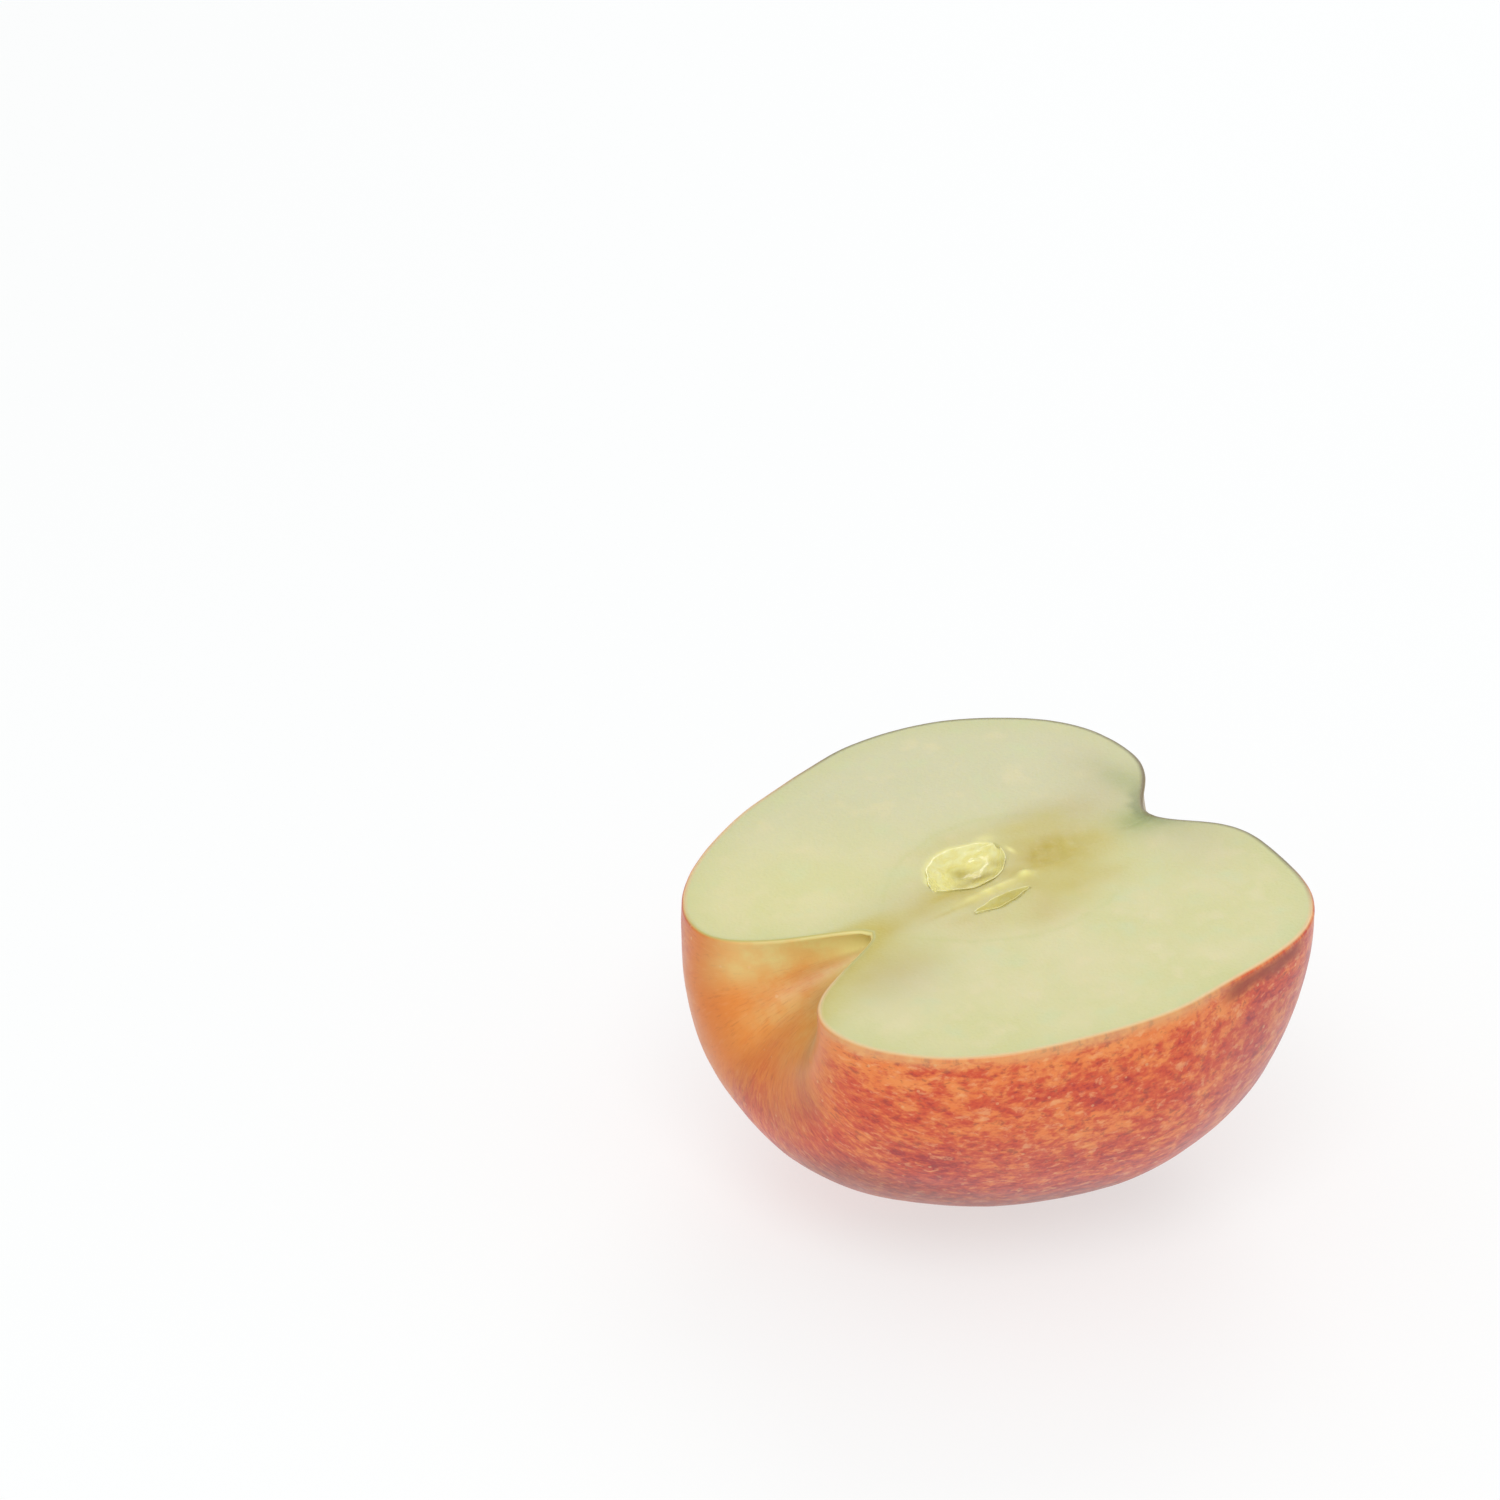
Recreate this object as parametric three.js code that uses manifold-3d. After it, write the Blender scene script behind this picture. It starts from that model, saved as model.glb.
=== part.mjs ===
// Half of a dessert apple, cut lengthwise and lying on its rounded side with the cut face up.
// Millimetres. +X runs along the core from the stem end to the calyx end, +Y goes across the cut
// face and +Z is up. The origin is under the middle of the half, on the surface that it lies on.
//
// The fruit is worked out about its core line, with the stem end at -X. Everything else is a cut:
// the knife's cut, the seed chambers that it opens and the small flat that the half lies on. The
// half lies a little tipped, with its stem end down, because most of its weight is on that side.

import * as THREE from 'three'
import { mergeVertices } from 'three/addons/utils/BufferGeometryUtils.js'
import Module from 'manifold-3d'

// Driving dimensions of the whole fruit
const frontHalfWidth = 38 // from the core line to the widest point, towards -Y
const rearHalfWidth = 37.4 // the same towards +Y
const halfDepth = 38.6 // the same towards -Z
const lean = 0.1 // how far the fruit leans along X for each millimetre of height

const stemEnd = {
  shoulder: 39.9, // from the widest ring to the end, before its hollow is taken off
  roundness: 3.6, // exponent: higher is squarer
  taper: 0.3, // draws the shoulders in to a cone
  hollowDepth: 19.9, // the stem cavity
  hollowWidth: 6.2,
  hollowCurve: 1.5, // 1 is a cone, 2 is a bell
}
const calyxEnd = {
  shoulder: 26.4,
  roundness: 4.4,
  taper: 0,
  hollowDepth: 7.4, // the calyx basin
  hollowWidth: 6.8,
  hollowCurve: 1.9,
}
const taperEase = 0.1 // keeps the widest ring smooth where the taper starts
const ribs = { count: 5, swell: 0.012, from: -10, to: 22 } // low ribs that rise towards the calyx

// Low swellings of the skin, and flats where the rise is negative. Each moves the skin straight away
// from the fruit's middle and fades with the distance from its place
const middle = new THREE.Vector3(-4.5, 0, 0)
const swells = [
  { place: new THREE.Vector3(5, -38, 2), reach: 10, rise: -1.4 },
  { place: new THREE.Vector3(23, -28, 0), reach: 12, rise: 0.8 },
  { place: new THREE.Vector3(20, -8, 2), reach: 8, rise: 1 },
  { place: new THREE.Vector3(-26, -30, 2), reach: 12, rise: 1 },
  { place: new THREE.Vector3(-37, 14, -13), reach: 11, rise: 0.8 },
  { place: new THREE.Vector3(26, 18, 2), reach: 10, rise: 1.1 },
  { place: new THREE.Vector3(19, 32, 2), reach: 10, rise: -1.2 },
]

// Driving dimensions of the half
const cutAboveCore = 2 // the knife passed this far above the core line
const tipDegrees = 4.5 // how far the stem end hangs down
const restFlat = 0.5 // taken off the lowest point, so that the half lies steady

// The seed chambers that the cut opens: a wide one behind the core line, a slit in front of it
const seedChambers = [
  { centre: [-4.9, 4.4], length: 12.5, width: 8.6, depth: 3.8, turnDegrees: 16 },
  { centre: [-5.7, -4.4], length: 8.6, width: 1.8, depth: 1.5, turnDegrees: 4 },
]
const chamberFullness = 0.65 // exponent of a chamber's outline: lower is blunter

// Facets
const pointsPerEnd = 30 // along a meridian, from an end of the core line to the widest ring
const pointsRound = 80
const meridianCrowding = 1.3 // above 1, the points crowd towards the core line
const chamberPoints = { along: 12, round: 16 }

const skinColour = 0xd6553f

const { exp, max, pow, sin, cos, sqrt, PI } = Math
const { degToRad, smoothstep } = THREE.MathUtils

// How far an end of the fruit reaches along the core line, at a distance from that line
function endProfile(end, fromCore) {
  const filled = max(1 - pow(fromCore / frontHalfWidth, end.roundness), 0)
  const tapered = pow((filled + taperEase) / (1 + taperEase), end.taper)
  const hollow = end.hollowDepth * exp(-pow(fromCore / end.hollowWidth, end.hollowCurve))
  return end.shoulder * sqrt(filled) * tapered - hollow
}

// The points of one meridian, from the stem cavity's floor over the widest ring to the basin's floor
function meridian() {
  const fromCoreAt = (step) => frontHalfWidth * sin((PI / 2) * pow(step / pointsPerEnd, meridianCrowding))
  const points = []
  for (let step = 0; step <= pointsPerEnd; step++) {
    const fromCore = fromCoreAt(step)
    points.push({ along: -endProfile(stemEnd, fromCore), fromCore })
  }
  for (let step = pointsPerEnd - 1; step >= 0; step--) {
    const fromCore = fromCoreAt(step)
    points.push({ along: endProfile(calyxEnd, fromCore), fromCore })
  }
  return points
}

// A point of a meridian, turned about the core line: 0 is towards +Y and a quarter turn towards -Z
function onSkin({ along, fromCore }, turn) {
  const rise = smoothstep(along, ribs.from, ribs.to)
  const swollen = (fromCore / frontHalfWidth) * (1 + ribs.swell * rise * cos(ribs.count * turn))
  const y = swollen * cos(turn) * (cos(turn) > 0 ? rearHalfWidth : frontHalfWidth)
  const z = -swollen * sin(turn) * halfDepth
  const even = new THREE.Vector3(along + lean * z, y, z)
  const outward = even.clone().sub(middle).normalize()
  const nearness = ({ place, reach }) => exp(-even.distanceToSquared(place) / (reach * reach))
  return even.addScaledVector(outward, swells.reduce((sum, swell) => sum + swell.rise * nearness(swell), 0))
}

// A closed surface from rings of points, with one point at each end. The rings follow each other
// towards +X, and the points of a ring turn from +Y towards -Z
function closedSurface(firstEnd, rings, lastEnd) {
  const round = rings[0].length
  const points = [firstEnd, ...rings.flat(), lastEnd]
  const at = (ring, step) => 1 + ring * round + (step % round)
  const lastRing = rings.length - 1
  const faces = []
  for (let step = 0; step < round; step++) {
    faces.push(0, at(0, step), at(0, step + 1))
    for (let ring = 0; ring < lastRing; ring++) {
      faces.push(at(ring, step), at(ring + 1, step), at(ring + 1, step + 1))
      faces.push(at(ring, step), at(ring + 1, step + 1), at(ring, step + 1))
    }
    faces.push(points.length - 1, at(lastRing, step + 1), at(lastRing, step))
  }
  const geometry = new THREE.BufferGeometry().setFromPoints(points)
  geometry.setIndex(faces)
  return geometry
}

function wholeFruit() {
  const turns = Array.from({ length: pointsRound }, (_, step) => (2 * PI * step) / pointsRound)
  const line = meridian()
  const rings = line.slice(1, -1).map((point) => turns.map((turn) => onSkin(point, turn)))
  return closedSurface(onSkin(line[0], 0), rings, onSkin(line[line.length - 1], 0))
}

// A block wider than the fruit, between two heights
function slab(low, high) {
  const wide = 4 * frontHalfWidth
  return new THREE.BoxGeometry(wide, wide, high - low).translate(0, 0, (low + high) / 2)
}

// A spindle lying along the core, with its widest section on the cut face
function seedChamber({ centre, length, width, depth, turnDegrees }) {
  const outline = []
  for (let step = 0; step <= chamberPoints.along; step++) {
    const share = step / chamberPoints.along
    const isEnd = step === 0 || step === chamberPoints.along
    const radius = isEnd ? 0 : (width / 2) * pow(sin(PI * share), chamberFullness)
    outline.push(new THREE.Vector2(radius, length * (share - 0.5)))
  }
  return new THREE.LatheGeometry(outline, chamberPoints.round)
    .rotateZ(PI / 2)
    .scale(1, 1, depth / (width / 2))
    .rotateZ(degToRad(turnDegrees))
    .translate(centre[0], centre[1], cutAboveCore)
}

const manifold = await Module()
manifold.setup()

function toSolid(geometry) {
  const bare = geometry.clone()
  bare.deleteAttribute('normal')
  bare.deleteAttribute('uv')
  const welded = mergeVertices(bare, 1e-5)
  const mesh = new manifold.Mesh({
    numProp: 3,
    vertProperties: new Float32Array(welded.attributes.position.array),
    triVerts: new Uint32Array(welded.index.array),
  })
  return new manifold.Manifold(mesh)
}

function toGeometry(solid) {
  const mesh = solid.getMesh()
  const geometry = new THREE.BufferGeometry()
  geometry.setAttribute('position', new THREE.BufferAttribute(mesh.vertProperties, 3))
  geometry.setIndex(new THREE.BufferAttribute(mesh.triVerts, 1))
  geometry.computeBoundingBox()
  return geometry
}

// The half as the knife leaves it, placed about the core line and then tipped as it lies
function tippedHalf() {
  const cuts = [slab(cutAboveCore, 2 * halfDepth), ...seedChambers.map(seedChamber)]
  const tip = (geometry) => toSolid(geometry.rotateY(-degToRad(tipDegrees)))
  return cuts.reduce((solid, cut) => solid.subtract(tip(cut)), tip(wholeFruit()))
}

// The half with its resting flat, the middle of its box over the origin
function restingHalf() {
  const half = tippedHalf()
  const lowest = toGeometry(half).boundingBox.min.z
  const geometry = toGeometry(half.subtract(toSolid(slab(lowest - halfDepth, lowest + restFlat))))
  const middle = geometry.boundingBox.getCenter(new THREE.Vector3())
  geometry.translate(-middle.x, -middle.y, -geometry.boundingBox.min.z)
  geometry.computeVertexNormals()
  return geometry
}

const skin = new THREE.MeshStandardMaterial({
  color: skinColour,
  roughness: 0.35,
  metalness: 0,
  flatShading: true,
})
const appleHalf = new THREE.Mesh(restingHalf(), skin)
appleHalf.name = 'apple_half'

const group = new THREE.Group()
group.add(appleHalf)

export default group
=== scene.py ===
import math

import bmesh
import bpy
import numpy as np
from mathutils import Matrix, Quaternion, Vector
from mathutils.kdtree import KDTree


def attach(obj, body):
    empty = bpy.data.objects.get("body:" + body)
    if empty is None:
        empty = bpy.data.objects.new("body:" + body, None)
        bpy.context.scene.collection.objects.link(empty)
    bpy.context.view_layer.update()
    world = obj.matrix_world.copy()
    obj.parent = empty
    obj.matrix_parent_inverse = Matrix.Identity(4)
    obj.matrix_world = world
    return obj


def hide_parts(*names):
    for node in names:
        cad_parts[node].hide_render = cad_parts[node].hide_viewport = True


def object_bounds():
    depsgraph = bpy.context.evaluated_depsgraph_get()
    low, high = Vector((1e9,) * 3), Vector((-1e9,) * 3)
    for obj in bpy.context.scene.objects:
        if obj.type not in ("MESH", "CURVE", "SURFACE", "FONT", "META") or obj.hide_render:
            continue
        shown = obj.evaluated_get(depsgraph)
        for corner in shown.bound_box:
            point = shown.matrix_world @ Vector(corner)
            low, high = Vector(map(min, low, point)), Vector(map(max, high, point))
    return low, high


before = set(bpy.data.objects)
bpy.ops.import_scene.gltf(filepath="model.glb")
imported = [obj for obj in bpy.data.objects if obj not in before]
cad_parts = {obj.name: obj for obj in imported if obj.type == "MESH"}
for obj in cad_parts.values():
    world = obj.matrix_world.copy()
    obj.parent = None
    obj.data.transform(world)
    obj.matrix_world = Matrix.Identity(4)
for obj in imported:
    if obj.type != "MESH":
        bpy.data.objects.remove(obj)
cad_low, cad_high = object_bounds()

# Looks of an apple half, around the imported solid. Shapes are worked out in millimetres in the
# fruit's own frame: +X runs along the core to the calyx, +Y across the cut face and +Z up, with the
# core line at y = z = 0. lay() then tips them as the half lies and puts them in the room, in metres.

# ---------------------------------------------------------------- sizes that the CAD solid also has

FRONT_HALF_WIDTH = 38.0
REAR_HALF_WIDTH = 37.4
HALF_DEPTH = 38.6
LEAN = 0.1
STEM_END = {
    "shoulder": 39.9, "roundness": 3.6, "taper": 0.3, "depth": 19.9, "width": 6.2, "curve": 1.5,
}
CALYX_END = {
    "shoulder": 26.4, "roundness": 4.4, "taper": 0.0, "depth": 7.4, "width": 6.8, "curve": 1.9,
}
TAPER_EASE = 0.1
RIBS = {"count": 5, "swell": 0.012, "from": -10.0, "to": 22.0}
MIDDLE = (-4.5, 0.0, 0.0)
# Place, reach and rise of the skin's low swellings
SWELLS = (
    ((5, -38, 2), 10, -1.4),
    ((23, -28, 0), 12, 0.8),
    ((20, -8, 2), 8, 1.0),
    ((-26, -30, 2), 12, 1.0),
    ((-37, 14, -13), 11, 0.8),
    ((26, 18, 2), 10, 1.1),
    ((19, 32, 2), 10, -1.2),
)
CUT = 2.0
TIP = math.radians(4.5)
REST_FLAT = 0.5
REAR_CHAMBER = {
    "centre": (-4.9, 4.4), "length": 12.5, "width": 8.6, "depth": 3.8, "turn": math.radians(16),
}
FRONT_CHAMBER = {
    "centre": (-5.7, -4.4), "length": 8.6, "width": 1.8, "depth": 1.5, "turn": math.radians(4),
}
CHAMBER_FULLNESS = 0.65

# ---------------------------------------------------------------- sizes of the finer surfaces

# Points along a meridian, from an end to the widest ring. They crowd towards the core line
POINTS_PER_END = 130
CROWDING = 1.3
SKIN_COLUMNS = 200
# The peel's underside has every eighth of the skin's columns
INNER_STEP = 8
# Height, wavelength and seed of the skin's slight unevenness
WAVERS = ((0.16, 24, 11), (0.05, 8, 12), (0.012, 2.6, 13))
# The skin's pattern is laid on a bar of this radius, along which the meridian runs straight
STREAK_RADIUS = 30
# Radius of the rounded edge that the knife leaves on the peel, and the peel's thickness
LIP = 0.4
LIP_STEPS = 6
PEEL = 0.4
FACE_CENTRE = np.array([-4.5, 1.0])
# Rings of the cut face, as shares of the way from its centre to its edge: first, last and how many
FACE_RINGS = ((0.01, 0.42, 86), (0.44, 0.93, 24), (0.942, 1, 8))
# How softly the resting flat begins
REST_SOFTNESS = 0.08
# Points along and across a chamber's lining, its ends as shares of the chamber's length, and its
# width over the chamber's
LINING_STEPS = (100, 80)
LINING_ENDS = (0.012, 0.988)
LINING_OVERLAP = 1.03
LINING_THICKNESS = 0.16
# How far its rim stands over the cut, and the flesh lies under it
LINING_PROUD = 0.1
UNDER_LINING = 0.1
# The sepals' turns about the core in degrees, and the points along and across each
SEPAL_TURNS = (26, 92, 156)
SEPAL_STEPS = (24, 9)
SEPAL_HALF_WIDTH = 1.3
SEPAL_THICKNESS = 0.2
# Where a sepal starts: along the core, and out from it
SEPAL_ROOT = (19.3, 1.9)
STAMENS = 13
# Where a stamen starts, along the core
STAMEN_ROOT = 18.6
STAMEN_RADIUS = 0.16
STAMEN_SIDES = 6
STAMEN_STEPS = 8
SHARP_ANGLE = math.radians(65)
# A ripple is the sum of so many waves
RIPPLE_WAVES = 28
# Equations without a formula are solved by repeating them this often
SOLVING_ROUNDS = 6
# Points as near as this are joined, and shorter edges dissolved, in metres
SAME_PLACE = 1e-7
NO_LENGTH = 1e-8

# ---------------------------------------------------------------- camera and room

IMAGE_SIDE = 1500
FOCAL_PIXELS = 6000
SENSOR = 36.0
# Degrees
CAMERA_AZIMUTH = -33.66
CAMERA_ELEVATION = 28.99
CAMERA_ROLL = -0.25
# A point of the cut face, in the fruit's frame, and how far it is from the camera and from the
# middle of the picture, in metres
CORE_POINT = (0.2, 0.0, 2.0)
CAMERA_DISTANCE = 0.7338
CORE_RIGHT_OF_MIDDLE = 0.0331
CORE_UNDER_MIDDLE = 0.01444
# The nearest and the farthest that the camera sees, in metres
CAMERA_REACH = (0.01, 50)
FLOOR_HALF_SIDE = 3.0
FLOOR_COLOURS = ((164, 166, 166), (163, 165, 165))
FLOOR_GLOW = 0.62
# Place, size and power of each lamp
LAMPS = {
    "key": ((-0.35, -0.45, 0.85), 0.6, 3.2),
    "back": ((0.5, 0.5, 0.6), 0.5, 1.2),
}
LAMP_TARGET = (0, 0, 0.02)
WORLD_STRENGTH = 0.66


def srgb(red, green, blue):
    """A colour as 0 to 255 screen values, made linear for a shader socket."""
    def linear(value):
        value /= 255
        return value / 12.92 if value <= 0.04045 else ((value + 0.055) / 1.055) ** 2.4
    return linear(red), linear(green), linear(blue), 1.0


def smoothstep(value, low, high):
    share = np.clip((value - low) / (high - low), 0, 1)
    return share * share * (3 - 2 * share)


def fade(value, low, high):
    """1 up to low, then smoothly down to 0 at high."""
    return 1 - smoothstep(value, low, high)


def band(value, rise_from, rise_to, fall_from, fall_to):
    """1 between a smooth rise and a smooth fall, and 0 outside them."""
    return smoothstep(value, rise_from, rise_to) * fade(value, fall_from, fall_to)


def spot(x, y, centre, reach):
    """A soft oval mark, 1 in its middle, that fades over its reach both ways."""
    return np.exp(-((x - centre[0]) / reach[0]) ** 2 - ((y - centre[1]) / reach[1]) ** 2)


def marks(x, y, rows):
    """The sum of soft marks. A row has a mark's middle, its reach both ways and its strength."""
    return sum(strength * spot(x, y, centre, reach) for centre, reach, strength in rows)


def ripple(points, wavelength, seed):
    """A smooth random field, mostly within -1 and 1, with bumps about a wavelength apart."""
    random = np.random.default_rng(seed)
    total = np.zeros(len(points))
    for _ in range(RIPPLE_WAVES):
        direction = random.normal(size=points.shape[1])
        direction /= np.linalg.norm(direction)
        length = wavelength * random.uniform(0.6, 1.7)
        phase = random.uniform(0, 2 * math.pi)
        total += np.cos(points @ direction * 2 * math.pi / length + phase)
    return total / math.sqrt(2 * RIPPLE_WAVES)


# ---------------------------------------------------------------- the fruit's form

def end_profile(end, from_core):
    filled = np.maximum(1 - (from_core / FRONT_HALF_WIDTH) ** end["roundness"], 0)
    tapered = ((filled + TAPER_EASE) / (1 + TAPER_EASE)) ** end["taper"]
    hollow = end["depth"] * np.exp(-((from_core / end["width"]) ** end["curve"]))
    return end["shoulder"] * np.sqrt(filled) * tapered - hollow


def meridian(open_radius):
    """Along and distance from the core, from the stem cavity's floor to the calyx basin's. One point
    on each end lies at open_radius, where the rings reach the cut and open."""
    share = np.linspace(0, 1, POINTS_PER_END + 1)
    from_core = FRONT_HALF_WIDTH * np.sin(math.pi / 2 * share**CROWDING)
    from_core[np.argmin(abs(from_core - open_radius))] = open_radius
    stem_side = -end_profile(STEM_END, from_core)
    calyx_side = end_profile(CALYX_END, from_core)
    along = np.concatenate([stem_side, calyx_side[-2::-1]])
    return along, np.concatenate([from_core, from_core[-2::-1]])


def ribbed(along, from_core, turn):
    """Distance from the core as a share of the half width, with ribs that rise to the calyx."""
    rise = smoothstep(along, RIBS["from"], RIBS["to"])
    return from_core / FRONT_HALF_WIDTH * (1 + RIBS["swell"] * rise * np.cos(RIBS["count"] * turn))


def on_skin(along, from_core, turn):
    """Points in the fruit's frame. Turn 0 is towards +Y and a quarter turn is down."""
    swollen = ribbed(along, from_core, turn)
    half_width = np.where(np.cos(turn) > 0, REAR_HALF_WIDTH, FRONT_HALF_WIDTH)
    z = -swollen * np.sin(turn) * HALF_DEPTH
    even = np.stack([along + LEAN * z, swollen * np.cos(turn) * half_width, z], -1)
    outward = even - MIDDLE
    outward /= np.linalg.norm(outward, axis=-1, keepdims=True)
    swell = np.zeros(even.shape[:-1])
    for place, reach, rise in SWELLS:
        swell += rise * np.exp(-((even - place) ** 2).sum(-1) / reach**2)
    return even + outward * swell[..., None]


def turn_at_cut(along, from_core, height):
    """How far past level a ring climbs before it reaches that height. A quarter turn closes it."""
    turn = np.zeros(len(along))
    for _ in range(SOLVING_ROUNDS):
        climb = ribbed(along, from_core, turn) * HALF_DEPTH
        turn = np.arcsin(np.clip(height / np.maximum(climb, 1e-9), 0, 1))
    return turn


def grid_normals(grid):
    """Unit normals of a grid of points, pointing out of the fruit, and none at its poles."""
    along = np.gradient(grid, axis=0)
    across = np.gradient(grid, axis=1)
    normals = np.cross(along, across)
    return normals / (np.linalg.norm(normals, axis=-1, keepdims=True) + 1e-6)


class Skin:
    """The skin's grid: a row for each point of the meridian and a column for each share of the turn.
    A row within the two hollows, under the cut, is a closed ring whose last point is its first.
    The rows first_open and last_open just reach the cut, and those between them are open."""

    def __init__(self, columns):
        height = CUT - LIP
        open_radius = height / HALF_DEPTH * FRONT_HALF_WIDTH
        self.along, self.from_core = meridian(open_radius)
        climb = turn_at_cut(self.along, self.from_core, height)
        self.closed = self.from_core <= open_radius + 1e-9
        climb[self.closed] = math.pi / 2
        share = np.linspace(0, 1, columns + 1)
        self.turn = -climb[:, None] + share * (math.pi + 2 * climb[:, None])
        self.grid = on_skin(self.along[:, None], self.from_core[:, None], self.turn)
        self.normals = grid_normals(self.grid)
        opened = np.flatnonzero(~self.closed)
        self.first_open, self.last_open = opened[0] - 1, opened[-1] + 1
        steps = np.hypot(np.diff(self.along), np.diff(self.from_core))
        self.way = np.repeat(np.concatenate([[0], np.cumsum(steps)])[:, None], columns + 1, 1)
        self.waver()

    def waver(self):
        """Lets the skin rise and fall a little, as no fruit is a plain formula."""
        flat = self.grid.reshape(-1, 3)
        swell = sum(height * ripple(flat, length, seed) for height, length, seed in WAVERS)
        swell = swell.reshape(self.grid.shape[:2]) * smoothstep(self.from_core, 1, 8)[:, None]
        self.grid += self.normals * swell[..., None]
        self.grid[self.closed, -1] = self.grid[self.closed, 0]
        for column in (0, -1):
            self.grid[~self.closed, column, 2] = CUT - LIP

    def round_the_edge(self, grid):
        """A grid's values where the skin meets the cut, from the stem notch along the rear to the
        calyx notch and back along the front."""
        rear = grid[self.first_open:self.last_open + 1, 0]
        front = grid[self.last_open - 1:self.first_open:-1, -1]
        return np.concatenate([rear, front])

    def put_on_edge(self, grid, values):
        """Gives the edge of a grid its values, in round_the_edge's order."""
        rear_points = self.last_open - self.first_open + 1
        grid[self.first_open:self.last_open + 1, 0] = values[:rear_points]
        grid[self.last_open - 1:self.first_open:-1, -1] = values[rear_points:]

    def edge(self):
        loop = self.round_the_edge(self.grid)
        loop[:, 2] = CUT - LIP
        return loop


def inward(loop):
    """Unit directions in the cut's plane, from each point of the loop into the flesh."""
    ahead = np.roll(loop, -1, axis=0) - np.roll(loop, 1, axis=0)
    normals = np.stack([ahead[:, 1], -ahead[:, 0], np.zeros(len(loop))], -1)
    return normals / np.linalg.norm(normals, axis=1, keepdims=True)


def lip_rings(loop):
    """The rounded edge that the knife leaves on the peel, as rings from the skin to the cut face."""
    into_flesh = inward(loop)
    rings = [loop]
    for step in range(1, LIP_STEPS + 1):
        bend = math.pi / 2 * step / LIP_STEPS
        ring = loop + into_flesh * LIP * (1 - math.cos(bend))
        ring[:, 2] = CUT - LIP + LIP * math.sin(bend)
        rings.append(ring)
    return rings


# ---------------------------------------------------------------- laying shapes in the room

def tipped(points):
    """Points of the fruit's frame, turned as the half lies, stem end down."""
    x, y, z = np.asarray(points, float).T
    forward = x * math.cos(TIP) - z * math.sin(TIP)
    upward = x * math.sin(TIP) + z * math.cos(TIP)
    return np.stack([forward, y, upward], -1)


skin = Skin(SKIN_COLUMNS)
outer_box = tipped(skin.grid.reshape(-1, 3))
box_low = outer_box.min(0)
box_high = outer_box.max(0)
cad_middle = (np.array(cad_low) + np.array(cad_high)) / 2 * 1000
SHIFT = cad_middle - (box_low + box_high) / 2
SHIFT[2] = -(box_low[2] + REST_FLAT)


def lay(points):
    """Points of the fruit's frame, put in the room, in metres. The lowest are pressed flat."""
    placed = tipped(points) + SHIFT
    z = placed[:, 2]
    placed[:, 2] = (z + np.sqrt(z * z + REST_SOFTNESS**2)) / 2
    return placed / 1000


def grid_faces(rows, columns, start=0, flip=False):
    """Quads of a grid of points that are numbered row by row."""
    row, column = np.meshgrid(np.arange(rows - 1), np.arange(columns - 1), indexing="ij")
    corner = start + (row * columns + column).ravel()
    faces = np.stack([corner, corner + columns, corner + columns + 1, corner + 1], -1)
    return faces[:, ::-1] if flip else faces


def loop_faces(loops, round_points, start=0):
    """Quads between closed loops of points, numbered loop by loop."""
    loop, step = np.meshgrid(np.arange(loops - 1), np.arange(round_points), indexing="ij")
    here = start + (loop * round_points + step).ravel()
    after = start + (loop * round_points + (step + 1) % round_points).ravel()
    return np.stack([here, here + round_points, after + round_points, after], -1)


def make_piece(name, points, faces, material, attributes):
    """A smooth-shaded piece of the object. Points are in the fruit's frame, and attributes have a
    value for each. Double points are joined."""
    mesh = bpy.data.meshes.new(name)
    mesh.from_pydata(lay(points).tolist(), [], [list(map(int, face)) for face in faces])
    for key, values in attributes.items():
        values = np.asarray(values, np.float32)
        kind = "FLOAT" if values.ndim == 1 else "FLOAT_VECTOR"
        layer = mesh.attributes.new(key, kind, "POINT")
        layer.data.foreach_set("value" if values.ndim == 1 else "vector", values.ravel())
    shape = bmesh.new()
    shape.from_mesh(mesh)
    bmesh.ops.remove_doubles(shape, verts=shape.verts, dist=SAME_PLACE)
    bmesh.ops.dissolve_degenerate(shape, edges=shape.edges, dist=NO_LENGTH)
    bmesh.ops.recalc_face_normals(shape, faces=shape.faces)
    shape.to_mesh(mesh)
    shape.free()
    mesh.polygons.foreach_set("use_smooth", [True] * len(mesh.polygons))
    mesh.set_sharp_from_angle(angle=SHARP_ANGLE)
    mesh.materials.append(material)
    piece = bpy.data.objects.new(name, mesh)
    bpy.context.scene.collection.objects.link(piece)
    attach(piece, "root")
    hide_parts("apple_half")
    return piece


def thicken(piece, thickness):
    """Gives a sheet its thickness in millimetres, half to each side."""
    thick = piece.modifiers.new("thickness", "SOLIDIFY")
    thick.thickness = thickness / 1000
    thick.offset = 0


# ---------------------------------------------------------------- materials

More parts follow.
